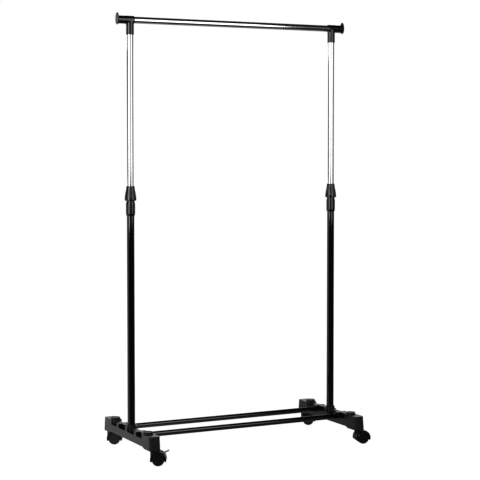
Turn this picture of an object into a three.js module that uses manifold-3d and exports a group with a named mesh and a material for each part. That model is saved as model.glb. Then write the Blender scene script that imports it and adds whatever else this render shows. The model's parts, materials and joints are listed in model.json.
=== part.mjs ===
// Rolling garment rack: one chromed hanging rail on two telescopic uprights, which stand in moulded
// feet joined by two base rails and run on four twin-wheel casters.
// Units are millimetres. +X runs along the hanging rail, -Y is the front, +Z is up, and the origin
// lies on the floor under the middle of the rack.
import * as THREE from 'three';
import { mergeVertices } from 'three/addons/utils/BufferGeometryUtils.js';
import Module from 'manifold-3d';

const wasm = await Module();
wasm.setup();

// ---- Driving dimensions ----
const postSpacing = 760;        // between the two upright axes
const railHeight = 1428;        // hanging rail axis above the floor
const railRadius = 11;          // hanging rail and upper posts: 22 mm chromed tube
const lowerPostRadius = 12.5;   // 25 mm black tube
const baseRailRadius = 9;       // 18 mm black tube
const chromeWall = 1.0;
const lowerPostWall = 1.2;
const baseRailWall = 1.0;
const fit = 0.3;                // gap left between pieces that touch or slide

const footHalfWidth = 19;
const footTipTop = 197.5;       // the end boss reaches this far at the top
const footTipBottom = 203;      // and this far at the bottom, because it is drafted
const footCorner = 8;           // corner radius in plan
const footTop = 92;             // top of the end bosses
const spineTop = 90;            // top of the spine and ribs between them
const beamBottom = 51;
const bossBottom = 46.5;        // the end bosses hang a little lower than the beam
const bossStart = 131;          // an end boss begins this far from the upright
const bossDropStart = 138;      // its underside slopes down from here
const bossDropEnd = 152;        // to here
const socketRadius = 16.25;     // round sockets on top of the foot
const socketTop = 99;
const spareSocketOffset = 140;  // the two unused, closed sockets
const spineHalfWidth = 6.5;
const sideWall = 2.6;
const sideWallTop = 77;
const pocketFloor = 58;
const baseRailOffset = 76;      // base rails either side of the uprights
const baseRailHeight = 75.5;
const ribHalfWidth = 9;         // ribs that hold the base rails
const centreRibHalfWidth = 9;
const postFloor = 56;           // bottom of the socket that the lower post stands in
const postScrewHeight = 94.5;   // screw through the socket wall into the lower post
const spareSocketDish = 1.6;    // depth of the dished tops of the closed sockets
const footBevel = 0.8;
const railScrewInset = 8;       // base rail screws, measured inwards from the uprights
const railScrewSeat = 56.5;     // their heads sit under this face
const casterBore = 7.2;         // hole in the foot for the caster's socket
const casterBoreTop = 84;

const sleeveBottom = 788;
const nutBottom = 838;
const nutTop = 886;
const lowerPostTop = 858;
const sleeveRadius = 15.4;
const spigotRadius = 13.9;      // top of the sleeve, inside the nut
const nutRadius = 19.7;         // bead round the nut's lower rim
const nutMouth = 14.4;          // bore of the nut's lower part
const nutLip = 11.5;            // opening at the nut's top, round the upper post
const upperPostBottom = 582;
const teeLeg = 48;              // length of the tee's leg below the rail axis
const teeLegRadius = 12.9;
const teeScrewDrop = -33;       // height of its screw from the rail axis
const upperPostTop = railHeight - 14.5;
const teeRadius = 13.5;
const teeInboard = 13;          // tee sleeve reaches this far towards the middle
const teeOutboard = 17;         // and this far outwards
const railOverhang = 39.5;      // hanging rail beyond each upright axis
const capEnd = 46.5;            // outer face of the end cap beyond the upright axis
const capFlange = 4;            // thickness of its stop plate
const stopHalfWidth = 12;
const stopTip = 23;             // the stop plate rises this far above the rail axis
const stopFoot = 16;            // and drops this far below it

const casterOffset = 187;       // caster stems along the foot
const casterTrail = 14.5;       // axle behind the stem
const wheelRadius = 20;
const wheelInner = 7.2;         // wheel faces measured from the caster's middle plane
const wheelOuter = 21;
const hoodRadius = 26;
const hoodInner = 21.4;
const hoodHalfWidth = 20;
const hoodTop = 45;
const hoodBottom = 13;
const hoodBossRadius = 11.5;    // round the stem
const axleRadius = 3;
const stemRadius = 4.8;
const stemTop = 78;

const fineFacets = 24;          // facets round the large turned pieces
const facets = 20;              // round tubes and wheels
const coarseFacets = 10;        // round screws, pins and small bores

const halfSpacing = postSpacing / 2;
const sides = [['left', -1], ['right', 1]];

// ---- Materials ----
function material(color, roughness, metalness) {
  return new THREE.MeshStandardMaterial({ color, roughness, metalness });
}
const chrome = material(0xd4d6d9, 0.12, 1.0);
const blackPaint = material(0x0c0c0d, 0.35, 0.3);
const footPlastic = material(0x2a2a2b, 0.6, 0.0);
const lockPlastic = material(0x18181a, 0.5, 0.0);
const wheelPlastic = material(0x121213, 0.55, 0.0);
const zincSteel = material(0xa9abae, 0.35, 1.0);
const brakePlastic = material(0x8d8f92, 0.5, 0.0);
const nylon = material(0xdcdcd6, 0.5, 0.0);

// ---- Shape helpers ----
// A profile of [radius, z] points turned about Z. It starts and ends on the axis, or closes on itself.
function revolve(profile, segments = facets) {
  const points = profile.map(([r, z]) => new THREE.Vector2(r, z));
  return new THREE.LatheGeometry(points, segments).rotateX(Math.PI / 2);
}

function ring(outer, inner, low, high, segments = facets) {
  return revolve([[inner, low], [outer, low], [outer, high], [inner, high], [inner, low]], segments);
}

function rod(radius, low, high, segments = facets) {
  return revolve([[0, low], [radius, low], [radius, high], [0, high]], segments);
}

function box(x0, x1, y0, y1, z0, z1) {
  const geometry = new THREE.BoxGeometry(x1 - x0, y1 - y0, z1 - z0);
  return geometry.translate((x0 + x1) / 2, (y0 + y1) / 2, (z0 + z1) / 2);
}

// A prism between two outlines with the same number of points.
function loft(lowOutline, low, highOutline, high) {
  const count = lowOutline.length;
  const bottom = lowOutline.map(([x, y]) => [x, y, low]);
  const corners = [...bottom, ...highOutline.map(([x, y]) => [x, y, high])];
  const faces = THREE.ShapeUtils.triangulateShape(bottom.map(([x, y]) => new THREE.Vector2(x, y)), []);
  const index = [];
  for (const [a, b, c] of faces) {
    index.push(c, b, a, a + count, b + count, c + count);
  }
  for (let i = 0; i < count; i += 1) {
    const next = (i + 1) % count;
    index.push(i, next, next + count, i, next + count, i + count);
  }
  const geometry = new THREE.BufferGeometry();
  geometry.setAttribute('position', new THREE.Float32BufferAttribute(corners.flat(), 3));
  geometry.setIndex(index);
  return geometry;
}

// A flat outline in the XZ plane, given as a Shape of (x, z), extruded between two Y values.
function slab(shape, y0, y1, curveSegments = 12) {
  const geometry = new THREE.ExtrudeGeometry(shape, { depth: y1 - y0, bevelEnabled: false, curveSegments });
  return geometry.rotateX(Math.PI / 2).translate(0, y1, 0);
}

function solid(geometry) {
  const bare = geometry.clone();
  bare.deleteAttribute('normal');
  bare.deleteAttribute('uv');
  const merged = mergeVertices(bare, 1e-4);
  const index = merged.index.array;
  const triangles = [];
  for (let i = 0; i < index.length; i += 3) {
    const [a, b, c] = [index[i], index[i + 1], index[i + 2]];
    if (a !== b && b !== c && c !== a) {
      triangles.push(a, b, c);
    }
  }
  return new wasm.Manifold(new wasm.Mesh({
    numProp: 3,
    vertProperties: new Float32Array(merged.attributes.position.array),
    triVerts: new Uint32Array(triangles),
  }));
}

function geometryOf(body) {
  const { vertProperties, triVerts } = body.getMesh();
  const geometry = new THREE.BufferGeometry();
  geometry.setAttribute('position', new THREE.BufferAttribute(new Float32Array(vertProperties), 3));
  geometry.setIndex(new THREE.BufferAttribute(new Uint32Array(triVerts), 1));
  geometry.computeVertexNormals();
  return geometry;
}

function join(body, ...geometries) {
  return geometries.reduce((total, geometry) => total.add(solid(geometry)), body);
}

function cut(body, ...geometries) {
  return geometries.reduce((total, geometry) => total.subtract(solid(geometry)), body);
}

function mesh(name, geometry, finish) {
  const piece = new THREE.Mesh(geometry, finish);
  piece.name = name;
  return piece;
}

// ---- Feet ----
// Plan outline of the foot: a long rectangle with rounded corners.
function footPlan(tip) {
  const outline = [];
  const steps = 4;
  for (const [quarter, x, y] of [[0, 1, 1], [1, -1, 1], [2, -1, -1], [3, 1, -1]]) {
    const centre = [x * (footHalfWidth - footCorner), y * (tip - footCorner)];
    for (let i = 0; i <= steps; i += 1) {
      const angle = (Math.PI / 2) * (quarter + i / steps);
      outline.push([centre[0] + footCorner * Math.cos(angle), centre[1] + footCorner * Math.sin(angle)]);
    }
  }
  return outline;
}

// Everything above the underside, which is flat along the beam and lower under each end boss.
function footUnderside() {
  const past = footTipBottom + 5;
  const profile = [[bossDropStart, beamBottom], [bossDropEnd, bossBottom], [past, bossBottom]];
  const mirrored = profile.map(([y, z]) => [-y, z]).reverse();
  const outline = [...profile, [past, 0], [-past, 0], ...mirrored];
  const shape = new THREE.Shape(outline.map(([y, z]) => new THREE.Vector2(y, z)));
  const waste = new THREE.ExtrudeGeometry(shape, { depth: 4 * footHalfWidth, bevelEnabled: false });
  return waste.rotateX(Math.PI / 2).rotateZ(Math.PI / 2).translate(-2 * footHalfWidth, 0, 0);
}

// Open pockets along both sides of the spine, between the ribs.
function footPockets() {
  const pockets = [];
  const innerSpan = [centreRibHalfWidth, baseRailOffset - ribHalfWidth];
  const outerSpan = [baseRailOffset + ribHalfWidth, bossStart];
  for (const side of [-1, 1]) {
    for (const end of [-1, 1]) {
      for (const [near, far] of [innerSpan, outerSpan]) {
        const [y0, y1] = end > 0 ? [near, far] : [-far, -near];
        const inner = side * spineHalfWidth;
        const wall = side * (footHalfWidth - sideWall);
        const outer = side * (footHalfWidth + 1);
        const deepX = [inner, wall].sort((a, b) => a - b);
        const openX = [inner, outer].sort((a, b) => a - b);
        pockets.push(box(...deepX, y0, y1, pocketFloor, footTop + 1));
        pockets.push(box(...openX, y0, y1, sideWallTop, footTop + 1));
      }
    }
  }
  return pockets;
}

function socketBoss() {
  const low = pocketFloor - 4;
  return revolve([
    [0, low], [socketRadius, low], [socketRadius, socketTop - footBevel],
    [socketRadius - footBevel, socketTop], [0, socketTop],
  ], fineFacets);
}

// Stepped hole in the underside of the foot for a base rail's screw.
function railScrewHole() {
  const clearance = rod(2.7, railScrewSeat - 1, baseRailHeight, coarseFacets);
  return [rod(5.8, beamBottom - 1, railScrewSeat, coarseFacets), clearance];
}

// The left foot. Its base rails enter from +X. The right foot is the same moulding turned round.
function foot() {
  let body = solid(loft(footPlan(footTipBottom), bossBottom, footPlan(footTipTop), footTop));
  body = cut(body, footUnderside());
  body = cut(body, box(-30, 30, -bossStart, bossStart, spineTop, footTop + 1));
  body = cut(body, ...footPockets());
  body = join(body, socketBoss());
  for (const end of [-1, 1]) {
    const dish = rod(lowerPostRadius, socketTop - spareSocketDish, socketTop + 1);
    body = join(body, socketBoss().translate(0, end * spareSocketOffset, 0));
    body = cut(body, dish.translate(0, end * spareSocketOffset, 0));
    const railBore = rod(baseRailRadius + fit, -4, footHalfWidth + 2).rotateY(Math.PI / 2);
    body = cut(body, railBore.translate(0, end * baseRailOffset, baseRailHeight));
    const screwHole = railScrewHole().map((hole) => hole.translate(railScrewInset, end * baseRailOffset, 0));
    body = cut(body, ...screwHole);
    body = cut(body, rod(casterBore, bossBottom - 1, casterBoreTop).translate(0, end * casterOffset, 0));
  }
  body = cut(body, rod(lowerPostRadius + fit, postFloor, socketTop + 1));
  const screwHole = rod(2.5, lowerPostRadius - 1, socketRadius + 3, coarseFacets).rotateY(Math.PI / 2);
  return geometryOf(cut(body, screwHole.translate(0, 0, postScrewHeight)));
}

// Pan-head screw along +Z: the head sits below z = 0 and the shank rises from it.
function screw(shank, length, head, headHeight) {
  const point = 1.5;
  return revolve([
    [0, -headHeight], [head * 0.7, -headHeight], [head, -headHeight * 0.5], [head, 0],
    [shank, 0], [shank, length - point], [0, length],
  ], coarseFacets);
}

function feet() {
  const group = new THREE.Group();
  for (const [name, side] of sides) {
    const half = new THREE.Group();
    half.position.x = side * halfSpacing;
    half.rotation.z = side > 0 ? Math.PI : 0;
    half.add(mesh(`${name}_foot`, foot(), footPlastic));
    for (const [end, sign] of [['front', -1], ['rear', 1]]) {
      const railScrew = mesh(`${name}_${end}_rail_screw`, screw(2.4, 13, 5, 3.2), zincSteel);
      railScrew.position.set(railScrewInset, -sign * side * baseRailOffset, railScrewSeat - fit);
      half.add(railScrew);
    }
    const postScrew = mesh(`${name}_post_screw`, screw(2.1, 6, 3.6, 2.2), zincSteel);
    postScrew.position.set(socketRadius + fit, 0, postScrewHeight);
    postScrew.rotation.y = -Math.PI / 2;
    half.add(postScrew);
    group.add(half);
  }
  return group;
}

// ---- Base rails and lower posts ----
function baseRail(name, y) {
  const halfLength = halfSpacing + 4 - fit;
  const inner = baseRailRadius - baseRailWall;
  let body = solid(ring(baseRailRadius, inner, -halfLength, halfLength).rotateY(Math.PI / 2));
  for (const side of [-1, 1]) {
    const screwHole = rod(2.8, -baseRailRadius - 1, 0, coarseFacets);
    body = cut(body, screwHole.translate(side * (halfSpacing - railScrewInset), 0, 0));
  }
  const rail = mesh(name, geometryOf(body), blackPaint);
  rail.position.set(0, y, baseRailHeight);
  return rail;
}

function lowerPost(name, side) {
  const inner = lowerPostRadius - lowerPostWall;
  let body = solid(ring(lowerPostRadius, inner, postFloor + fit, lowerPostTop));
  const screwHole = rod(2.5, 0, lowerPostRadius + 2, coarseFacets).rotateY(-side * Math.PI / 2);
  body = cut(body, screwHole.translate(0, 0, postScrewHeight));
  const post = mesh(name, geometryOf(body), blackPaint);
  post.position.x = side * halfSpacing;
  return post;
}

// ---- Height locks ----
// Sleeve pressed on the lower post, with a spigot that the nut screws on to.
function lockSleeve() {
  const bore = lowerPostRadius + fit;
  return revolve([
    [bore, sleeveBottom], [sleeveRadius - 2, sleeveBottom], [sleeveRadius, sleeveBottom + 7],
    [sleeveRadius, nutBottom - 11], [spigotRadius, nutBottom - 4], [spigotRadius, lowerPostTop],
    [bore, lowerPostTop], [bore, sleeveBottom],
  ], fineFacets);
}

// Bell-shaped nut with a bead round its lower rim.
function lockNut() {
  return revolve([
    [nutMouth, nutBottom + fit], [nutRadius - 0.8, nutBottom + fit], [nutRadius, nutBottom + 2],
    [nutRadius, nutBottom + 6.5],
    [19.1, nutBottom + 8.5], [18.7, nutBottom + 15], [17.0, nutBottom + 25], [14.9, nutBottom + 35],
    [14.1, nutTop - 5], [13.5, nutTop - 1], [12.6, nutTop], [nutLip, nutTop],
    [nutLip, nutTop - 3], [12.4, nutTop - 3], [nutMouth, nutTop - 22], [nutMouth, nutBottom + fit],
  ], fineFacets);
}

// Split ring that the nut squeezes on to the upper post.
function lockCollet() {
  const bore = railRadius + 0.25;
  const low = lowerPostTop + fit;
  const high = nutTop - 5;
  const profile = [[bore, low], [13.6, low], [13.6, low + 5], [12.1, high], [bore, high], [bore, low]];
  let body = solid(revolve(profile));
  for (const angle of [0, Math.PI / 2]) {
    body = cut(body, box(-20, 20, -0.8, 0.8, low + 4, high + 1).rotateZ(angle));
  }
  return geometryOf(body);
}

function heightLock(name, side) {
  const group = new THREE.Group();
  group.position.x = side * halfSpacing;
  group.add(mesh(`${name}_lock_sleeve`, lockSleeve(), lockPlastic));
  group.add(mesh(`${name}_lock_collet`, lockCollet(), nylon));
  group.add(mesh(`${name}_lock_nut`, lockNut(), lockPlastic));
  return group;
}

// ---- Upper frame ----
function upperPost(name, side) {
  const tube = solid(ring(railRadius, railRadius - chromeWall, upperPostBottom, upperPostTop));
  return mesh(name, geometryOf(cut(tube, teeScrewHole(side).translate(0, 0, railHeight))), chrome);
}

// Bush in the lower end of the upper post, which guides it inside the lower post.
function guidePlug(name) {
  const flange = lowerPostRadius - lowerPostWall - 0.15;
  const spigot = railRadius - chromeWall - fit;
  const low = upperPostBottom - 7;
  const profile = [
    [spigot - 1.8, low], [flange - 0.6, low], [flange, low + 1], [flange, upperPostBottom - fit],
    [spigot, upperPostBottom - fit], [spigot, upperPostBottom + 16], [spigot - 1.8, upperPostBottom + 16],
    [spigot - 1.8, low],
  ];
  return mesh(name, revolve(profile), nylon);
}

// Hole for the tee's screw, which is at the rear on both sides of the rack.
function teeScrewHole(side) {
  return rod(2.3, 0, 20, coarseFacets).rotateX(side * Math.PI / 2).translate(0, 0, teeScrewDrop);
}

// Tee with the rail along X through it and the upper post in its leg. +X points to the rack's middle.
function tee(side) {
  const chamfer = 1.2;
  const sleeve = revolve([
    [0, -teeOutboard], [teeRadius, -teeOutboard], [teeRadius, teeInboard - chamfer],
    [teeRadius - chamfer, teeInboard], [0, teeInboard],
  ], fineFacets).rotateY(Math.PI / 2);
  const leg = revolve([
    [0, -teeLeg], [teeLegRadius - 0.6, -teeLeg], [teeLegRadius, -teeLeg + 1], [teeLegRadius, 0], [0, 0],
  ], fineFacets);
  let body = join(solid(sleeve), leg);
  body = cut(body, rod(railRadius + fit, -teeOutboard - 1, teeInboard + 1).rotateY(Math.PI / 2));
  body = cut(body, rod(railRadius + fit, -teeLeg - 1, -14));
  return geometryOf(cut(body, teeScrewHole(side)));
}

// End cap: a skirt over the rail's end and a stop plate with a raised tip that keeps hangers on.
// The cap is drawn for the end at -X, with x measured from the upright axis.
function endCap() {
  const skirtStart = -teeOutboard - fit;
  const plateStart = -capEnd + capFlange;
  const skirt = rod(teeRadius, plateStart - 1, skirtStart, fineFacets).rotateY(Math.PI / 2);
  const plate = new THREE.Shape();
  plate.moveTo(0, stopTip);
  const halves = [[stopHalfWidth, stopTip, -stopFoot], [-stopHalfWidth, -stopFoot, stopTip]];
  for (const [edge, from, to] of halves) {
    plate.bezierCurveTo(edge * 0.6, from, edge, from * 0.6, edge, 0);
    plate.bezierCurveTo(edge, to * 0.6, edge * 0.6, to, 0, to);
  }
  const disc = new THREE.ExtrudeGeometry(plate, {
    depth: capFlange - 2, bevelEnabled: true, bevelThickness: 1, bevelSize: 1, bevelOffset: -1,
    bevelSegments: 1, curveSegments: 5,
  });
  disc.rotateX(Math.PI / 2).rotateZ(Math.PI / 2).translate(-capEnd + 1, 0, 0);
  const body = join(solid(skirt), disc);
  return geometryOf(cut(body, rod(railRadius + fit, -railOverhang - fit, 0).rotateY(Math.PI / 2)));
}

function upperFrame() {
  const group = new THREE.Group();
  const railHalf = halfSpacing + railOverhang;
  const rail = mesh('hanging_rail', ring(railRadius, railRadius - chromeWall, -railHalf, railHalf), chrome);
  rail.rotation.y = Math.PI / 2;
  rail.position.z = railHeight;
  group.add(rail);
  for (const [name, side] of sides) {
    const half = new THREE.Group();
    half.position.x = side * halfSpacing;
    half.rotation.z = side > 0 ? Math.PI : 0;
    half.add(upperPost(`${name}_upper_post`, side), guidePlug(`${name}_guide_plug`));
    const top = new THREE.Group();
    top.position.z = railHeight;
    top.add(mesh(`${name}_tee`, tee(side), lockPlastic), mesh(`${name}_end_cap`, endCap(), lockPlastic));
    const teeScrew = mesh(`${name}_tee_screw`, screw(1.9, 7, 3.4, 2), zincSteel);
    teeScrew.position.set(0, side * -(teeLegRadius + fit), teeScrewDrop);
    teeScrew.rotation.x = side * -Math.PI / 2;
    top.add(teeScrew);
    half.add(top);
    group.add(half);
  }
  return group;
}

// ---- Casters ----
// A caster is drawn about its stem axis with its floor at z = 0. It trails towards +X and its axle
// lies along Y.
function casterSocket() {
  return ring(casterBore - fit, stemRadius + fit, bossBottom + 1, casterBoreTop - 2);
}

function casterStem() {
  return revolve([
    [0, 26], [stemRadius, 26], [stemRadius, hoodTop + fit], [8, hoodTop + fit], [8, bossBottom - fit],
    [stemRadius, bossBottom - fit], [stemRadius, stemTop - 2], [stemRadius - 1.5, stemTop], [0, stemTop],
  ], coarseFacets);
}

function wheelDisc(radius, y0, y1, segments = fineFacets) {
  return rod(radius, -y1, -y0, segments).rotateX(Math.PI / 2).translate(casterTrail, 0, wheelRadius);
}

// Point at a radius and angle from the axle, in the caster's middle plane.
function roundAxle(radius, degrees) {
  const angle = (degrees * Math.PI) / 180;
  return new THREE.Vector2(casterTrail + radius * Math.cos(angle), wheelRadius + radius * Math.sin(angle));
}

const brakePivot = roundAxle(23.6, 52);

// Housing: a half-round fender over both wheels, a web between them and a boss round the stem.
function casterHood(withBrake) {
  const webHalf = wheelInner - 1.2;
  let body = solid(wheelDisc(hoodRadius, -hoodHalfWidth, hoodHalfWidth, 32));
  body = cut(body, wheelDisc(hoodInner, webHalf, 30), wheelDisc(hoodInner, -30, -webHalf));
  body = join(body, rod(hoodBossRadius, 18, hoodTop));
  const wheelSpace = wheelRadius + 0.9;
  body = cut(body, wheelDisc(wheelSpace, webHalf, 30), wheelDisc(wheelSpace, -30, -webHalf));
  body = cut(body, box(-40, 60, -40, 40, -10, hoodBottom), box(-40, 60, -40, 40, hoodTop, 80));
  body = cut(body, wheelDisc(axleRadius + fit, -30, 30, coarseFacets));
  body = cut(body, rod(stemRadius + fit, 25.6, hoodTop + 1, coarseFacets));
  if (withBrake) {
    const corners = [[12, 30], [32, 30], [32, 70], [12, 70]];
    const slot = new THREE.Shape(corners.map(([radius, degrees]) => roundAxle(radius, degrees)));
    body = cut(body, slab(slot, -7.6, 7.6));
    const pinHole = rod(1.9, -9.8, 9.8, coarseFacets).rotateX(Math.PI / 2);
    body = cut(body, pinHole.translate(brakePivot.x, 0, brakePivot.y));
  }
  return geometryOf(body);
}

// One wheel, drawn for the -Y side, with a closed outer face and a blind bore for the axle.
function casterWheel() {
  const bore = axleRadius + fit;
  return revolve([
    [0, wheelOuter - 2.5], [bore, wheelOuter - 2.5], [bore, wheelInner], [19.2, wheelInner],
    [wheelRadius, wheelInner + 0.8], [wheelRadius, wheelOuter - 1.6], [18.4, wheelOuter],
    [16.4, wheelOuter - 0.8], [0, wheelOuter - 0.8],
  ], fineFacets);
}

function casterAxle() {
  const half = wheelOuter - 2.5 - fit;
  const axle = rod(axleRadius, -half, half, coarseFacets).rotateX(Math.PI / 2);
  return axle.translate(casterTrail, 0, wheelRadius);
}

// Brake lever: a foot tab outside the hood and a wedge inside it, on moulded trunnions.
function brakeLever() {
  const along = new THREE.Vector2(1, 0).rotateAround(new THREE.Vector2(), (25 * Math.PI) / 180);
  const across = new THREE.Vector2(-along.y, along.x);
  const at = (u, v) => brakePivot.clone().addScaledVector(along, u).addScaledVector(across, v);
  const tab = new THREE.Shape([
    at(-3, -1.4), at(6, -1.4), at(22, -1.2), at(22.6, 0.6), at(21.6, 1.3), at(-3, 1.4),
  ]);
  const wedge = new THREE.Shape([at(-3, 1.4), at(-7, -2), at(-6.5, -6), at(-3.5, -6.5), at(1, -1.4)]);
  const pin = rod(1.6, -9.4, 9.4, coarseFacets).rotateX(Math.PI / 2).translate(brakePivot.x, 0, brakePivot.y);
  return geometryOf(join(solid(slab(tab, -7, 7)), slab(wedge, -5, 5), pin));
}

// Rest directions of the four casters, in degrees from +X.
const casters = [
  { name: 'front_left', x: -1, y: -1, trail: -27, brake: true },
  { name: 'front_right', x: 1, y: -1, trail: -13, brake: false },
  { name: 'rear_left', x: -1, y: 1, trail: -27, brake: false },
  { name: 'rear_right', x: 1, y: 1, trail: -27, brake: true },
];

function caster({ name, x, y, trail, brake }) {
  const group = new THREE.Group();
  group.position.set(x * halfSpacing, y * casterOffset, 0);
  group.rotation.z = (trail * Math.PI) / 180;
  group.add(mesh(`${name}_caster_socket`, casterSocket(), nylon));
  group.add(mesh(`${name}_caster_stem`, casterStem(), zincSteel));
  group.add(mesh(`${name}_caster_hood`, casterHood(brake), wheelPlastic));
  group.add(mesh(`${name}_caster_axle`, casterAxle(), zincSteel));
  for (const [face, turn] of [['a', 1], ['b', -1]]) {
    const wheel = mesh(`${name}_wheel_${face}`, casterWheel(), wheelPlastic);
    wheel.rotation.x = (turn * Math.PI) / 2;
    wheel.position.set(casterTrail, 0, wheelRadius);
    group.add(wheel);
  }
  if (brake) {
    group.add(mesh(`${name}_brake_lever`, brakeLever(), brakePlastic));
  }
  return group;
}

// ---- Assembly ----
const group = new THREE.Group();
group.add(feet());
group.add(baseRail('front_base_rail', -baseRailOffset), baseRail('rear_base_rail', baseRailOffset));
for (const [name, side] of sides) {
  group.add(lowerPost(`${name}_lower_post`, side), heightLock(name, side));
}
group.add(upperFrame());
for (const item of casters) {
  group.add(caster(item));
}

export default group;
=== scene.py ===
import json
import math

import bmesh
import bpy
from mathutils import Matrix, Vector


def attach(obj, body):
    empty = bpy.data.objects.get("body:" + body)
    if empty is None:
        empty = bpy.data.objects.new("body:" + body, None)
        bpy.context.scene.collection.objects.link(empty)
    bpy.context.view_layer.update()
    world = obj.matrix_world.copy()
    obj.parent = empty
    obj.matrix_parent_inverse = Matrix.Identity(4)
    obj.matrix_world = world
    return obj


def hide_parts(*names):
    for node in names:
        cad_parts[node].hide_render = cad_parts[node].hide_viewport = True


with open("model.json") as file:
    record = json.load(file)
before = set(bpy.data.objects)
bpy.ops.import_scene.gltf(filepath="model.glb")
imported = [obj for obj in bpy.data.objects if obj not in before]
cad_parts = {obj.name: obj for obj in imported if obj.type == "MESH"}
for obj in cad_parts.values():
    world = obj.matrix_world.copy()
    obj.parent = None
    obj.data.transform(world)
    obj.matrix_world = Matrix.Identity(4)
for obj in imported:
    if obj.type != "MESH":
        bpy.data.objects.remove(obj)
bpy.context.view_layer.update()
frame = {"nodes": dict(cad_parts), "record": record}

# Lengths are in millimetres until a piece is finished; MM brings them into the frame.
MM = 0.001
SIDES = (("left", -1), ("right", 1))

POST_X = 380
POST_RADIUS = 12.5
POST_WALL = 1.2
POST_FLOOR = 56
LOWER_POST_TOP = 858
UPPER_POST_BOTTOM = 582
RAIL_Z = 1428
RAIL_RADIUS = 11
RAIL_WALL = 1
RAIL_OVERHANG = 39.5
BASE_RAIL_RADIUS = 9
BASE_RAIL_WALL = 1
BASE_RAIL_Y = 76
BASE_RAIL_Z = 75.5
FIT = 0.3

FOOT_HALF_WIDTH = 19
FOOT_TIP_TOP = 197.5
FOOT_TIP_BOTTOM = 203
FOOT_CORNER = 12
FOOT_TOP = 92
SPINE_TOP = 90
BEAM_BOTTOM = 51
BOSS_BOTTOM = 46.5
BOSS_START = 131
SOCKET_RADIUS = 16.25
SOCKET_TOP = 99
SPARE_SOCKET_Y = 140
SPINE_HALF_WIDTH = 6.5
SIDE_WALL = 2.6
SIDE_WALL_TOP = 77
POCKET_FLOOR = 58
RIB_HALF_WIDTH = 9
POST_SCREW_Z = 94.5
RAIL_SCREW_INSET = 8
RAIL_SCREW_SEAT = 56.5
CASTER_BORE = 7.2
CASTER_BORE_TOP = 84
CASTER_Y = 187

SLEEVE_BOTTOM = 788
SLEEVE_RADIUS = 15.4
SPIGOT_RADIUS = 13.9
NUT_BOTTOM = 838.3
NUT_TOP = 886
NUT_RADIUS = 19.7
NUT_MOUTH = 14.4
NUT_LIP = 11.5
TEE_RADIUS = 13.5
TEE_LEG_RADIUS = 12.9
TEE_LEG_DROP = -48
TEE_SCREW_Z = -33
STOP_TIP = 23
STOP_FOOT = -16
STOP_HALF_WIDTH = 12
WHEEL_RADIUS = 20
HOOD_RADIUS = 26
HOOD_BOTTOM = 13
HOOD_TOP = 45
HOOD_HALF_WIDTH = 20
AXLE_BORE = 3.3
STEM_RADIUS = 4.8
TRAIL = 14.5
BRAKE_PIVOT = (23.6, 52)


# ---- Shapes ----
def rounded(outline, steps=4):
    """A closed outline of (u, v, corner radius) as points, with its corners rounded."""
    points = []
    for i, (u, v, radius) in enumerate(outline):
        here = Vector((u, v))
        before = Vector(outline[i - 1][:2]) - here
        after = Vector(outline[(i + 1) % len(outline)][:2]) - here
        half = before.angle(after) / 2
        if not radius or half > 1.5:
            points.append(here)
            continue
        reach = min(radius / math.tan(half), before.length * 0.48, after.length * 0.48)
        start = here + before.normalized() * reach
        end = here + after.normalized() * reach
        for k in range(steps + 1):
            t = k / steps
            points.append(start * (1 - t) ** 2 + here * 2 * t * (1 - t) + end * t * t)
    return points


def turned(outline, segments=64, steps=4, flutes=0, depth=0, low=0, high=0):
    """A closed outline of (radius, z, corner radius) turned about Z, with optional upright flutes."""
    shape = bmesh.new()
    rings = []
    for radius, z in rounded(outline, steps):
        if radius < 1e-6:
            rings.append([shape.verts.new((0, 0, z))])
            continue
        corners = []
        for i in range(segments):
            angle = 2 * math.pi * i / segments
            inset = 0
            if flutes and low < z < high:
                fade = min(1, (z - low) / 2, (high - z) / 2)
                inset = depth * fade * max(0, math.cos(flutes * angle)) ** 2
            reach = radius - inset
            corners.append(shape.verts.new((reach * math.cos(angle), reach * math.sin(angle), z)))
        rings.append(corners)
    for lower, upper in zip(rings, rings[1:] + rings[:1]):
        if len(lower) == len(upper) == 1:
            continue
        for i in range(segments):
            j = (i + 1) % segments
            corners = (lower[i % len(lower)], lower[j % len(lower)],
                       upper[j % len(upper)], upper[i % len(upper)])
            shape.faces.new(list(dict.fromkeys(corners)))
    bmesh.ops.recalc_face_normals(shape, faces=shape.faces)
    return shape


def rod(radius, low, high, segments=48):
    return turned([(0, low, 0), (radius, low, 0), (radius, high, 0), (0, high, 0)], segments)


def tube(outer, wall, low, high, segments=72):
    """A tube along Z with slightly rounded ends."""
    inner = outer - wall
    corners = ((inner, low), (outer, low), (outer, high), (inner, high))
    return turned([(*corner, 0.3) for corner in corners], segments, 2)


def prism(outline, low, high, top_outline=None, steps=4):
    """A closed outline of (x, y, corner radius) raised along Z, with an optional outline at the top."""
    shape = bmesh.new()
    bottom = [shape.verts.new((u, v, low)) for u, v in rounded(outline, steps)]
    top = [shape.verts.new((u, v, high)) for u, v in rounded(top_outline or outline, steps)]
    shape.faces.new(bottom[::-1])
    shape.faces.new(top)
    for i in range(len(bottom)):
        j = (i + 1) % len(bottom)
        shape.faces.new((bottom[i], bottom[j], top[j], top[i]))
    bmesh.ops.recalc_face_normals(shape, faces=shape.faces)
    return shape


def block(x0, x1, y0, y1, z0, z1, corner=0):
    outline = [(x0, y0, corner), (x1, y0, corner), (x1, y1, corner), (x0, y1, corner)]
    return prism(outline, z0, z1)


def moved(shape, x=0, y=0, z=0):
    shape.transform(Matrix.Translation((x, y, z)))
    return shape


def turn(shape, degrees, axis):
    shape.transform(Matrix.Rotation(math.radians(degrees), 4, axis))
    return shape


def slab(outline, y0, y1):
    """An outline in the XZ plane, thick between two Y values."""
    return moved(turn(prism(outline, 0, y1 - y0), 90, "X"), y=y1)


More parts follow.
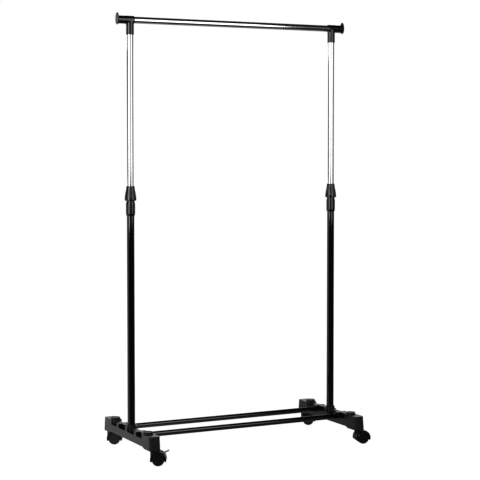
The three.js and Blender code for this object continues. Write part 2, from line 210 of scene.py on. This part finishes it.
def holder(shape):
    """A temporary object that carries a shape while modifiers act on it."""
    mesh = bpy.data.meshes.new("part")
    shape.to_mesh(mesh)
    shape.free()
    part = bpy.data.objects.new("part", mesh)
    bpy.context.scene.collection.objects.link(part)
    return part


def settled(part):
    """The part's mesh with its modifiers applied, as a bmesh; the part itself is removed."""
    graph = bpy.context.evaluated_depsgraph_get()
    shape = bmesh.new()
    shape.from_mesh(part.evaluated_get(graph).to_mesh())
    mesh = part.data
    bpy.data.objects.remove(part)
    bpy.data.meshes.remove(mesh)
    return shape


def combine(shape, others, operation):
    """Adds the other shapes to this one, or takes them away, one after another."""
    for other in others:
        part = holder(shape)
        tool = holder(other)
        step = part.modifiers.new("boolean", "BOOLEAN")
        step.operation = operation
        step.solver = "MANIFOLD"
        step.object = tool
        shape = settled(part)
        mesh = tool.data
        bpy.data.objects.remove(tool)
        bpy.data.meshes.remove(mesh)
    return shape


def join(shape, *others):
    return combine(shape, others, "UNION")


def cut(shape, *others):
    return combine(shape, others, "DIFFERENCE")


def eased(shape, width, segments=2):
    """Rounds every sharp edge, but not the facets of turned shapes."""
    bmesh.ops.remove_doubles(shape, verts=shape.verts, dist=0.01)
    bmesh.ops.dissolve_degenerate(shape, edges=shape.edges, dist=0.01)
    part = holder(shape)
    step = part.modifiers.new("bevel", "BEVEL")
    step.width = width
    step.segments = segments
    step.limit_method = "ANGLE"
    step.angle_limit = math.radians(33)
    step.use_clamp_overlap = False
    return settled(part)


def piece(name, shape, body, finish, place=None):
    """Turns a shape in millimetres into a piece that stands for the CAD node of the same name."""
    shape.transform(Matrix.Scale(MM, 4) @ (place or Matrix.Identity(4)))
    mesh = bpy.data.meshes.new(name)
    shape.to_mesh(mesh)
    shape.free()
    mesh.shade_smooth()
    mesh.set_sharp_from_angle(angle=math.radians(38))
    made = bpy.data.objects.new(name + "_look", mesh)
    bpy.context.scene.collection.objects.link(made)
    mesh.materials.append(finishes[finish])
    normals = made.modifiers.new("normals", "WEIGHTED_NORMAL")
    normals.keep_sharp = True
    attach(made, body)
    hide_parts(name)


# ---- Materials ----
class Shader:
    """A node material that is built up from a few kinds of procedural detail."""

    def __init__(self, name, metallic=0.0, reflection=0.5):
        self.material = bpy.data.materials.new(name)
        self.material.use_nodes = True
        self.tree = self.material.node_tree
        self.surface = self.tree.nodes["Principled BSDF"]
        self.surface.inputs["Metallic"].default_value = metallic
        self.surface.inputs["Specular IOR Level"].default_value = reflection
        self.place = self.tree.nodes.new("ShaderNodeTexCoord").outputs["Object"]
        self.height = None

    def link(self, output, target):
        self.tree.links.new(output, target)

    def noise(self, scale, detail=3, stretch=None, roughness=0.5):
        """Noise with this many cells to the metre, stretched along an axis if asked."""
        node = self.tree.nodes.new("ShaderNodeTexNoise")
        node.inputs["Scale"].default_value = scale
        node.inputs["Detail"].default_value = detail
        node.inputs["Roughness"].default_value = roughness
        source = self.place
        if stretch:
            mapping = self.tree.nodes.new("ShaderNodeMapping")
            mapping.inputs["Scale"].default_value = stretch
            self.link(self.place, mapping.inputs["Vector"])
            source = mapping.outputs["Vector"]
        self.link(source, node.inputs["Vector"])
        return node.outputs["Fac"]

    def colour(self, value, dark, light):
        """Blends the base colour between two colours by a noise value."""
        node = self.tree.nodes.new("ShaderNodeValToRGB")
        for element, position, tint in zip(node.color_ramp.elements, (0.35, 0.65), (dark, light)):
            element.position = position
            element.color = (*tint, 1)
        self.link(value, node.inputs["Fac"])
        self.link(node.outputs["Color"], self.surface.inputs["Base Color"])

    def gloss(self, value, low, high):
        """Spreads the roughness between two values by a noise value."""
        node = self.tree.nodes.new("ShaderNodeMapRange")
        for key, number in (("From Min", 0.3), ("From Max", 0.7), ("To Min", low), ("To Max", high)):
            node.inputs[key].default_value = number
        self.link(value, node.inputs["Value"])
        self.link(node.outputs["Result"], self.surface.inputs["Roughness"])

    def bump(self, value, depth):
        """Adds relief of this depth, in millimetres, on top of any there already."""
        node = self.tree.nodes.new("ShaderNodeBump")
        node.inputs["Strength"].default_value = 1.0
        node.inputs["Distance"].default_value = depth * MM
        self.link(value, node.inputs["Height"])
        if self.height:
            self.link(self.height, node.inputs["Normal"])
        self.height = node.outputs["Normal"]
        self.link(self.height, self.surface.inputs["Normal"])


def chrome():
    """Bright plating with soft smudges and a barely uneven surface."""
    shader = Shader("chrome", metallic=1.0)
    smudge = shader.noise(18, 4)
    shader.colour(smudge, (0.78, 0.79, 0.81), (0.86, 0.87, 0.885))
    shader.gloss(shader.noise(60, 5), 0.05, 0.1)
    shader.bump(shader.noise(1500, 2), 0.0006)
    return shader.material


def black_paint():
    """Semi-gloss powder coat with its shallow orange peel."""
    shader = Shader("black_paint", reflection=1.0)
    shader.colour(shader.noise(90, 4), (0.0012, 0.0012, 0.0013), (0.0022, 0.0022, 0.0024))
    shader.gloss(shader.noise(240, 3), 0.05, 0.10)
    shader.bump(shader.noise(420, 2), 0.004)
    shader.bump(shader.noise(2600, 1), 0.0008)
    return shader.material


def foot_plastic():
    """Satin moulded plastic with an eroded grain and flow clouds."""
    shader = Shader("foot_plastic", reflection=0.9)
    shader.colour(shader.noise(35, 5), (0.006, 0.006, 0.0063), (0.0095, 0.0095, 0.01))
    shader.gloss(shader.noise(700, 4), 0.28, 0.40)
    shader.bump(shader.noise(1500, 3, roughness=0.6), 0.02)
    return shader.material


def lock_plastic():
    """Satin black plastic with a fine spark-eroded grain."""
    shader = Shader("lock_plastic", reflection=0.9)
    shader.colour(shader.noise(60, 4), (0.003, 0.003, 0.0032), (0.0055, 0.0055, 0.006))
    shader.gloss(shader.noise(900, 3), 0.14, 0.22)
    shader.bump(shader.noise(1900, 3, roughness=0.6), 0.007)
    return shader.material


def wheel_plastic():
    """Smooth black plastic with light scuffing."""
    shader = Shader("wheel_plastic", reflection=0.6)
    shader.colour(shader.noise(80, 5), (0.003, 0.003, 0.003), (0.0055, 0.0055, 0.0058))
    shader.gloss(shader.noise(160, 6, roughness=0.65), 0.24, 0.40)
    shader.bump(shader.noise(1300, 2), 0.012)
    shader.bump(shader.noise(90, 6, (1, 1, 14)), 0.01)
    return shader.material


def zinc_steel():
    """Bright zinc plating with a slightly cloudy lustre."""
    shader = Shader("zinc_steel", metallic=1.0)
    shader.colour(shader.noise(300, 4), (0.50, 0.51, 0.53), (0.66, 0.67, 0.69))
    shader.gloss(shader.noise(500, 4), 0.24, 0.42)
    shader.bump(shader.noise(2200, 2), 0.008)
    return shader.material


def brake_plastic():
    """Grey moulded plastic, rubbed smoother in patches by shoes."""
    shader = Shader("brake_plastic")
    shader.colour(shader.noise(260, 5), (0.20, 0.20, 0.205), (0.30, 0.30, 0.31))
    shader.gloss(shader.noise(420, 4), 0.38, 0.58)
    shader.bump(shader.noise(1800, 3), 0.02)
    return shader.material


def nylon():
    """Natural nylon, slightly translucent and waxy."""
    shader = Shader("nylon")
    shader.colour(shader.noise(120, 4), (0.66, 0.65, 0.61), (0.76, 0.75, 0.71))
    shader.gloss(shader.noise(600, 3), 0.38, 0.52)
    shader.bump(shader.noise(1500, 2), 0.01)
    shader.surface.inputs["Subsurface Weight"].default_value = 0.15
    shader.surface.inputs["Subsurface Scale"].default_value = 0.002
    return shader.material


finishes = {make.__name__: make() for make in (
    chrome, black_paint, foot_plastic, lock_plastic, wheel_plastic, zinc_steel, brake_plastic, nylon)}


def dress_cad_nodes():
    """CAD nodes that stay in view get the procedural finish of their slot."""
    for part in frame["record"]["subparts"]:
        node = frame["nodes"][part["node"]]
        node.data.materials.clear()
        node.data.materials.append(finishes[part["material_slot"]])


# ---- Feet ----
def foot_plan(tip):
    corner = FOOT_CORNER * 0.9
    return [(FOOT_HALF_WIDTH, tip, corner), (-FOOT_HALF_WIDTH, tip, corner),
            (-FOOT_HALF_WIDTH, -tip, corner), (FOOT_HALF_WIDTH, -tip, corner)]


def foot_underside():
    past = FOOT_TIP_BOTTOM + 5
    right = [(138, BEAM_BOTTOM, 3), (152, BOSS_BOTTOM, 3), (past, BOSS_BOTTOM, 0)]
    left = [(-y, z, corner) for y, z, corner in reversed(right)]
    outline = right + [(past, 0, 0), (-past, 0, 0)] + left
    return turn(slab(outline, -40, 40), 90, "Z")


def foot_pockets():
    wall = FOOT_HALF_WIDTH - SIDE_WALL
    outside = FOOT_HALF_WIDTH + 1
    pockets = []
    for side in (-1, 1):
        for end in (-1, 1):
            for near, far in ((RIB_HALF_WIDTH, BASE_RAIL_Y - RIB_HALF_WIDTH),
                              (BASE_RAIL_Y + RIB_HALF_WIDTH, BOSS_START)):
                y = sorted((end * near, end * far))
                deep = sorted((side * SPINE_HALF_WIDTH, side * wall))
                across = sorted((side * SPINE_HALF_WIDTH, side * outside))
                pockets.append(block(*deep, *y, POCKET_FLOOR, FOOT_TOP + 1, 1.2))
                pockets.append(block(*across, *y, SIDE_WALL_TOP, FOOT_TOP + 1))
    return pockets


def foot_socket(y):
    low = POCKET_FLOOR - 4
    return moved(rod(SOCKET_RADIUS, low, SOCKET_TOP, 64), y=y)


def foot_shape():
    shape = prism(foot_plan(FOOT_TIP_BOTTOM), BOSS_BOTTOM, FOOT_TOP, foot_plan(FOOT_TIP_TOP), 8)
    between_bosses = block(-30, 30, -BOSS_START, BOSS_START, SPINE_TOP, FOOT_TOP + 1)
    shape = cut(shape, foot_underside(), between_bosses, *foot_pockets())
    shape = join(shape, foot_socket(-SPARE_SOCKET_Y), foot_socket(0), foot_socket(SPARE_SOCKET_Y))
    for end in (-1, 1):
        dish = rod(POST_RADIUS, SOCKET_TOP - 1.6, SOCKET_TOP + 1, 64)
        shape = cut(shape, moved(dish, y=end * SPARE_SOCKET_Y))
    shape = eased(cut(shape, rod(POST_RADIUS + FIT, POST_FLOOR, SOCKET_TOP + 1, 64)), 0.7)
    for end in (-1, 1):
        bore = turn(rod(BASE_RAIL_RADIUS + FIT, -4, FOOT_HALF_WIDTH + 2), 90, "Y")
        head = rod(5.8, BEAM_BOTTOM - 1, RAIL_SCREW_SEAT, 32)
        shank = rod(2.7, RAIL_SCREW_SEAT - 1, BASE_RAIL_Z, 24)
        caster = rod(CASTER_BORE, BOSS_BOTTOM - 1, CASTER_BORE_TOP, 40)
        shape = cut(
            shape,
            moved(bore, y=end * BASE_RAIL_Y, z=BASE_RAIL_Z),
            moved(head, RAIL_SCREW_INSET, end * BASE_RAIL_Y),
            moved(shank, RAIL_SCREW_INSET, end * BASE_RAIL_Y),
            moved(caster, y=end * CASTER_Y),
        )
    screw_hole = turn(rod(2.5, POST_RADIUS - 1, SOCKET_RADIUS + 3, 24), 90, "Y")
    return cut(shape, moved(screw_hole, z=POST_SCREW_Z))


def screw(shank, length, head, head_height):
    """Pan-head screw along +Z with a cross recess; the head sits below z = 0."""
    rim = -head_height * 0.4
    shape = turned([
        (0, -head_height, 0), (head * 0.72, -head_height, 1.2), (head, rim, 0.8), (head, 0, 0.2),
        (shank, 0, 0.2), (shank, length - 1.5, 0.2), (0, length, 0),
    ], 40)
    bar = head * 0.5
    arms = [block(-bar, bar, -0.5, 0.5, -head_height - 1, rim)]
    arms.append(turn(arms[0].copy(), 90, "Z"))
    return cut(shape, *arms)


def half_turn(side):
    """Places a part drawn for the left upright on either upright."""
    place = Matrix.Translation((side * POST_X, 0, 0))
    return place @ Matrix.Rotation(math.pi, 4, "Z") if side > 0 else place


def make_feet():
    for name, side in SIDES:
        place = half_turn(side)
        piece(f"{name}_foot", foot_shape(), "base", "foot_plastic", place)
        for end, sign in (("front", -1), ("rear", 1)):
            shape = moved(screw(2.4, 13, 5, 3.2), RAIL_SCREW_INSET, -sign * side * BASE_RAIL_Y,
                          RAIL_SCREW_SEAT - FIT)
            piece(f"{name}_{end}_rail_screw", shape, "base", "zinc_steel", place)
        shape = moved(turn(screw(2.1, 6, 3.6, 2.2), -90, "Y"), SOCKET_RADIUS + FIT, 0, POST_SCREW_Z)
        piece(f"{name}_post_screw", shape, "base", "zinc_steel", place)


# ---- Tubes ----
def make_tubes():
    reach = POST_X + 4 - FIT
    for name, y in (("front_base_rail", -BASE_RAIL_Y), ("rear_base_rail", BASE_RAIL_Y)):
        shape = turn(tube(BASE_RAIL_RADIUS, BASE_RAIL_WALL, -reach, reach), 90, "Y")
        holes = [moved(rod(2.8, -BASE_RAIL_RADIUS - 1, 0, 24), side * (POST_X - RAIL_SCREW_INSET))
                 for _, side in SIDES]
        place = Matrix.Translation((0, y, BASE_RAIL_Z))
        piece(name, cut(shape, *holes), "base", "black_paint", place)
    for name, side in SIDES:
        place = Matrix.Translation((side * POST_X, 0, 0))
        hole = moved(turn(rod(2.5, 0, POST_RADIUS + 2, 24), -side * 90, "Y"), z=POST_SCREW_Z)
        shape = cut(tube(POST_RADIUS, POST_WALL, POST_FLOOR + FIT, LOWER_POST_TOP), hole)
        piece(f"{name}_lower_post", shape, "base", "black_paint", place)
        hole = moved(turn(rod(2.3, 0, 20, 24), -90, "X"), z=RAIL_Z + TEE_SCREW_Z)
        shape = cut(tube(RAIL_RADIUS, RAIL_WALL, UPPER_POST_BOTTOM, RAIL_Z - 14.5), hole)
        piece(f"{name}_upper_post", shape, "upper_frame", "chrome", place)
    reach = POST_X + RAIL_OVERHANG
    rail = turn(tube(RAIL_RADIUS, RAIL_WALL, -reach, reach, 96), 90, "Y")
    piece("hanging_rail", rail, "upper_frame", "chrome", Matrix.Translation((0, 0, RAIL_Z)))


# ---- Height locks ----
def lock_sleeve():
    """Sleeve with a tapered foot and a narrower spigot for the nut."""
    bore = POST_RADIUS + FIT
    return turned([
        (bore, SLEEVE_BOTTOM, 0.3), (13.4, SLEEVE_BOTTOM, 0.8), (SLEEVE_RADIUS, 795, 2),
        (SLEEVE_RADIUS, 808, 0), (SLEEVE_RADIUS, 827, 2), (SPIGOT_RADIUS, 834, 0.8),
        (SPIGOT_RADIUS, LOWER_POST_TOP, 0.4), (bore, LOWER_POST_TOP, 0.3),
    ], 96)


def lock_nut():
    """Bell-shaped nut with a plain band at its mouth and grip flutes above it."""
    return turned([
        (NUT_MOUTH, NUT_BOTTOM, 0.3), (18.9, NUT_BOTTOM, 0.9), (NUT_RADIUS, 840, 0.9),
        (NUT_RADIUS, 844.5, 1.2), (19.1, 846.5, 0.8), (18.7, 853, 4), (17.0, 863, 5), (14.9, 873, 4),
        (14.1, 881, 3), (13.5, 885, 0.9), (12.6, NUT_TOP, 0.5), (NUT_LIP, NUT_TOP, 0.3),
        (NUT_LIP, 883, 0.2), (12.4, 883, 0.2), (NUT_MOUTH, 864, 1),
    ], 144, 5, flutes=24, depth=0.35, low=848, high=879)


def make_locks():
    for name, side in SIDES:
        place = Matrix.Translation((side * POST_X, 0, 0))
        piece(f"{name}_lock_sleeve", lock_sleeve(), "base", "lock_plastic", place)
        piece(f"{name}_lock_nut", lock_nut(), f"{name}_nut", "lock_plastic", place)


# ---- Rail fittings ----
def tee_shape(side):
    sleeve = turned([(0, -17, 0), (TEE_RADIUS, -17, 0.5), (TEE_RADIUS, 13, 1.4), (0, 13, 0)], 72)
    leg = turned([(0, TEE_LEG_DROP, 0), (TEE_LEG_RADIUS, TEE_LEG_DROP, 0.9), (TEE_LEG_RADIUS, 0, 0),
                  (0, 0, 0)], 72)
    shape = join(turn(sleeve, 90, "Y"), leg)
    rail_bore = turn(rod(RAIL_RADIUS + FIT, -18, 14, 72), 90, "Y")
    leg_bore = rod(RAIL_RADIUS + FIT, TEE_LEG_DROP - 1, -14, 72)
    hole = moved(turn(rod(2.3, 0, 20, 24), side * 90, "X"), z=TEE_SCREW_Z)
    return eased(cut(shape, rail_bore, leg_bore, hole), 0.7)


def stop_outline():
    """Egg-shaped outline of the stop plate, wider in the middle and raised to a tip."""
    corners = ((0, STOP_TIP), (STOP_HALF_WIDTH, 0), (0, STOP_FOOT), (-STOP_HALF_WIDTH, 0))
    outline = []
    for i, (y, z) in enumerate(corners):
        y1, z1 = corners[(i + 1) % 4]
        for k in range(10):
            angle = math.pi / 2 * k / 10
            if y == 0:
                point = (y1 * math.sin(angle), z * math.cos(angle))
            else:
                point = (y * math.cos(angle), z1 * math.sin(angle))
            outline.append((*point, 0))
    return outline


def end_cap():
    """Cap over the rail's end with its stop plate, drawn for the left end."""
    skirt = turned([(0, -43, 0), (13.1, -43, 0), (13.1, -17.3, 0.5), (0, -17.3, 0)], 72)
    plate = turn(turn(prism(stop_outline(), 0, 4), 90, "X"), 90, "Z")
    shape = eased(join(turn(skirt, 90, "Y"), moved(plate, -46.5)), 0.9, 3)
    bore = turn(rod(RAIL_RADIUS + FIT, -RAIL_OVERHANG - FIT, 0, 72), 90, "Y")
    return cut(shape, bore)


def make_fittings():
    for name, side in SIDES:
        place = Matrix.Translation((0, 0, RAIL_Z)) @ half_turn(side)
        piece(f"{name}_tee", tee_shape(side), "upper_frame", "lock_plastic", place)
        piece(f"{name}_end_cap", end_cap(), "upper_frame", "lock_plastic", place)
        shape = turn(screw(1.9, 7, 3.4, 2), side * -90, "X")
        moved(shape, 0, side * -(TEE_LEG_RADIUS + FIT), TEE_SCREW_Z)
        piece(f"{name}_tee_screw", shape, "upper_frame", "zinc_steel", place)


# ---- Casters ----
# Name, side, end, direction of trail in degrees, whether it has a brake
CASTERS = (
    ("front_left", -1, -1, -27, True),
    ("front_right", 1, -1, -13, False),
    ("rear_left", -1, 1, -27, False),
    ("rear_right", 1, 1, -27, True),
)


def disc(radius, y0, y1, segments=96):
    """A disc about the axle."""
    return moved(turn(rod(radius, -y1, -y0, segments), 90, "X"), TRAIL, 0, WHEEL_RADIUS)


def round_axle(radius, degrees):
    """A point in the XZ plane at this distance and direction from the axle."""
    angle = math.radians(degrees)
    return Vector((TRAIL + radius * math.cos(angle), WHEEL_RADIUS + radius * math.sin(angle)))


def brake_pin(radius, half_width):
    pivot = round_axle(*BRAKE_PIVOT)
    return moved(turn(rod(radius, -half_width, half_width, 24), 90, "X"), pivot.x, 0, pivot.y)


def caster_hood(brake):
    """Hood over both wheels: a web between them, a boss for the stem and, if braked, a slot."""
    web = 6
    past = 30
    sides = ((web, past), (-past, -web))
    shape = disc(HOOD_RADIUS, -HOOD_HALF_WIDTH, HOOD_HALF_WIDTH)
    shape = cut(shape, *[disc(21.4, *side) for side in sides])
    shape = join(shape, rod(11.5, 18, HOOD_TOP, 64))
    shape = cut(shape, *[disc(20.9, *side) for side in sides])
    shape = cut(shape, block(-40, 60, -40, 40, -10, HOOD_BOTTOM), block(-40, 60, -40, 40, HOOD_TOP, 80))
    shape = eased(shape, 0.5)
    shape = cut(shape, disc(AXLE_BORE, -past, past, 24), rod(STEM_RADIUS + FIT, 25.6, HOOD_TOP + 1, 32))
    if brake:
        corners = [(12, 30), (32, 30), (32, 70), (12, 70)]
        slot = slab([(*round_axle(*corner), 1) for corner in corners], -7.6, 7.6)
        shape = cut(shape, slot, brake_pin(1.9, 9.8))
    return shape


def caster_wheel():
    """One wheel, outer face up: tread, recessed face with a raised hub, blind bore."""
    return turned([
        (0, 18.5, 0), (AXLE_BORE, 18.5, 0), (AXLE_BORE, 7.2, 0.3), (19.2, 7.2, 0.5),
        (WHEEL_RADIUS, 8, 0.5), (WHEEL_RADIUS, 19.4, 1), (18.4, 21, 0.8), (17.2, 20.6, 0.3),
        (16.4, 20.0, 0.3), (7.2, 20.0, 0.3), (6.6, 20.2, 0.2), (0, 20.2, 0),
    ], 96)


def brake_lever():
    """Ribbed foot tab with a wedge behind the pin, drawn along its own slope of 25 degrees."""
    pivot = round_axle(*BRAKE_PIVOT)
    along = Vector((math.cos(math.radians(25)), math.sin(math.radians(25))))
    across = Vector((-along.y, along.x))

    def drawn(points):
        return [(*(pivot + along * u + across * v), 0.4) for u, v in points]

    tab = slab(drawn([
        (-3, -1.4), (6, -1.4), (22, -1.2), (22.6, 0.6), (21.6, 1.3), (20.4, 0.9), (19.2, 1.3),
        (18, 0.9), (16.8, 1.3), (15.6, 0.9), (14.4, 1.3), (-3, 1.4),
    ]), -7, 7)
    wedge = slab(drawn([(-3, 1.4), (-7, -2), (-6.5, -6), (-3.5, -6.5), (1, -1.4)]), -5, 5)
    return eased(join(tab, wedge, brake_pin(1.6, 9.4)), 0.35)


def caster_stem():
    """Stem with a thin collar that the foot rests on."""
    return turned([
        (0, 26, 0), (STEM_RADIUS, 26, 0.3), (STEM_RADIUS, 45.3, 0), (8, 45.3, 0.2), (8, 46.2, 0.2),
        (STEM_RADIUS, 46.2, 0), (STEM_RADIUS, 76, 0.5), (3.3, 78, 0.4), (0, 78, 0),
    ], 40)


def make_casters():
    for name, x, y, trail, brake in CASTERS:
        place = Matrix.Translation((x * POST_X, y * CASTER_Y, 0))
        place = place @ Matrix.Rotation(math.radians(trail), 4, "Z")
        piece(f"{name}_caster_hood", caster_hood(brake), f"{name}_swivel", "wheel_plastic", place)
        piece(f"{name}_caster_stem", caster_stem(), f"{name}_swivel", "zinc_steel", place)
        for face, degrees in (("a", 90), ("b", -90)):
            shape = moved(turn(caster_wheel(), degrees, "X"), TRAIL, 0, WHEEL_RADIUS)
            piece(f"{name}_wheel_{face}", shape, f"{name}_wheels", "wheel_plastic", place)
        if brake:
            piece(f"{name}_brake_lever", brake_lever(), f"{name}_brake", "brake_plastic", place)


# ---- Stage ----
def make_camera():
    data = bpy.data.cameras.new("camera")
    data.lens = 106.035
    data.shift_y = -0.05
    data.clip_end = 100
    camera = bpy.data.objects.new("camera", data)
    yaw = math.radians(26.775)
    pitch = math.radians(2.67)
    ahead = Vector((math.sin(yaw) * math.cos(pitch), math.cos(yaw) * math.cos(pitch), -math.sin(pitch)))
    camera.location = (-2.14807, -4.30131, 1.00396)
    camera.rotation_mode = "QUATERNION"
    camera.rotation_quaternion = ahead.to_track_quat("-Z", "Y")
    bpy.context.scene.collection.objects.link(camera)
    bpy.context.scene.camera = camera


def make_softbox(name, place, aim, width, tall, radiance):
    """A soft light of even brightness that the camera never sees directly."""
    data = bpy.data.lights.new(name, "AREA")
    data.shape = "RECTANGLE"
    data.size = width
    data.size_y = tall
    data.energy = radiance * math.pi * width * tall
    light = bpy.data.objects.new(name, data)
    light.location = place
    light.rotation_mode = "QUATERNION"
    light.rotation_quaternion = (Vector(aim) - light.location).to_track_quat("-Z", "Y")
    light.visible_camera = False
    bpy.context.scene.collection.objects.link(light)


def seen_directly(tree):
    """One for what the camera sees itself, nought for light and reflections."""
    return tree.nodes.new("ShaderNodeLightPath").outputs["Is Camera Ray"]


def ramp(tree, value, start, end, low, high):
    """A smooth change from low to high while the value goes from start to end."""
    node = tree.nodes.new("ShaderNodeMapRange")
    node.interpolation_type = "SMOOTHSTEP"
    for key, number in (("From Min", start), ("From Max", end), ("To Min", low), ("To Max", high)):
        node.inputs[key].default_value = number
    tree.links.new(value, node.inputs["Value"])
    return node.outputs["Result"]


def make_world():
    """A dim studio that is grey at eye level and dark overhead, against a plain white background."""
    world = bpy.data.worlds.new("studio")
    world.use_nodes = True
    tree = world.node_tree
    background = tree.nodes["Background"]
    axes = tree.nodes.new("ShaderNodeSeparateXYZ")
    tree.links.new(tree.nodes.new("ShaderNodeTexCoord").outputs["Generated"], axes.inputs[0])
    strength = tree.nodes.new("ShaderNodeMix")
    strength.inputs["B"].default_value = 1.0
    tree.links.new(seen_directly(tree), strength.inputs["Factor"])
    tree.links.new(ramp(tree, axes.outputs["Z"], 0.1, 0.5, 0.25, 0.02), strength.inputs["A"])
    tree.links.new(strength.outputs["Result"], background.inputs["Strength"])
    background.inputs["Color"].default_value = (1, 1, 1, 1)
    bpy.context.scene.world = world


def make_floor():
    """A pale paper floor that glows by itself and shows faint shadows. To the camera it glows near
    white; light and reflections see it darker, with a painted pool of light behind the rack on its
    left.
    """
    shape = bmesh.new()
    bmesh.ops.create_circle(shape, cap_ends=True, segments=96, radius=40)
    mesh = bpy.data.meshes.new("floor")
    shape.to_mesh(mesh)
    shape.free()
    floor = bpy.data.objects.new("floor", mesh)
    floor.location.z = -0.0005
    material = bpy.data.materials.new("floor")
    material.use_nodes = True
    tree = material.node_tree
    surface = tree.nodes["Principled BSDF"]
    surface.inputs["Roughness"].default_value = 0.8
    surface.inputs["Specular IOR Level"].default_value = 0.1
    surface.inputs["Emission Color"].default_value = (1, 1, 1, 1)
    place = tree.nodes.new("ShaderNodeTexCoord").outputs["Object"]
    axes = tree.nodes.new("ShaderNodeSeparateXYZ")
    tree.links.new(place, axes.inputs[0])
    reach = tree.nodes.new("ShaderNodeVectorMath")
    reach.operation = "LENGTH"
    tree.links.new(place, reach.inputs[0])
    # Painted light: for light and reflections the floor glows as a pool of light behind the rack,
    # brightest on its left and dimmer between the feet.
    painted_pool = tree.nodes.new("ShaderNodeMath")
    painted_pool.operation = "MULTIPLY_ADD"
    tree.links.new(ramp(tree, axes.outputs["Y"], -0.45, 0.25, 0.0, 0.58), painted_pool.inputs[0])
    tree.links.new(ramp(tree, axes.outputs["X"], -0.4, 0.1, 1.0, 0.45), painted_pool.inputs[1])
    painted_pool.inputs[2].default_value = 0.02
    # The floor glows by itself: near white to the camera (a little dimmer within two metres of the
    # rack), and the painted pool for light and reflections.
    glow = tree.nodes.new("ShaderNodeMix")
    tree.links.new(painted_pool.outputs["Value"], glow.inputs["A"])
    tree.links.new(ramp(tree, reach.outputs["Value"], 0.8, 2.0, 0.94, 1.0), glow.inputs["B"])
    # Painted shade: light and reflections see a darker floor colour than the camera does.
    painted_shade_tone = tree.nodes.new("ShaderNodeMix")
    painted_shade_tone.inputs["A"].default_value = 0.05
    painted_shade_tone.inputs["B"].default_value = 0.3
    for mix in (glow, painted_shade_tone):
        tree.links.new(seen_directly(tree), mix.inputs["Factor"])
    tree.links.new(glow.outputs["Result"], surface.inputs["Emission Strength"])
    tree.links.new(painted_shade_tone.outputs["Result"], surface.inputs["Base Color"])
    mesh.materials.append(material)
    bpy.context.scene.collection.objects.link(floor)


def make_stage():
    make_camera()
    make_world()
    make_floor()
    make_softbox("left_softbox", (-2.2, -1.0, 1.37), (0, 0, 1.37), 0.95, 1.48, 4.6)
    make_softbox("front_softbox", (0.65, -1.8, 1.63), (0.4, 0, 1.63), 1.0, 1.94, 2)
    make_softbox("far_softbox", (-2.4, -5.2, 1.75), (-0.1, 0, 1.75), 2.4, 1.9, 0.75)
    make_softbox("back_softbox", (1.5, 2.8, 0.8), (0.4, 0, 0.8), 3.9, 1.6, 0.9)
    make_softbox("corner_softbox", (-2.0, 2.6, 1.75), (-0.43, 0, 1.43), 0.7, 0.4, 3.6)
    bpy.context.scene.view_settings.view_transform = "Standard"
    bpy.context.scene.view_settings.gamma = 0.82


dress_cad_nodes()
make_feet()
make_tubes()
make_locks()
make_fittings()
make_casters()
make_stage()

bpy.context.view_layer.update()
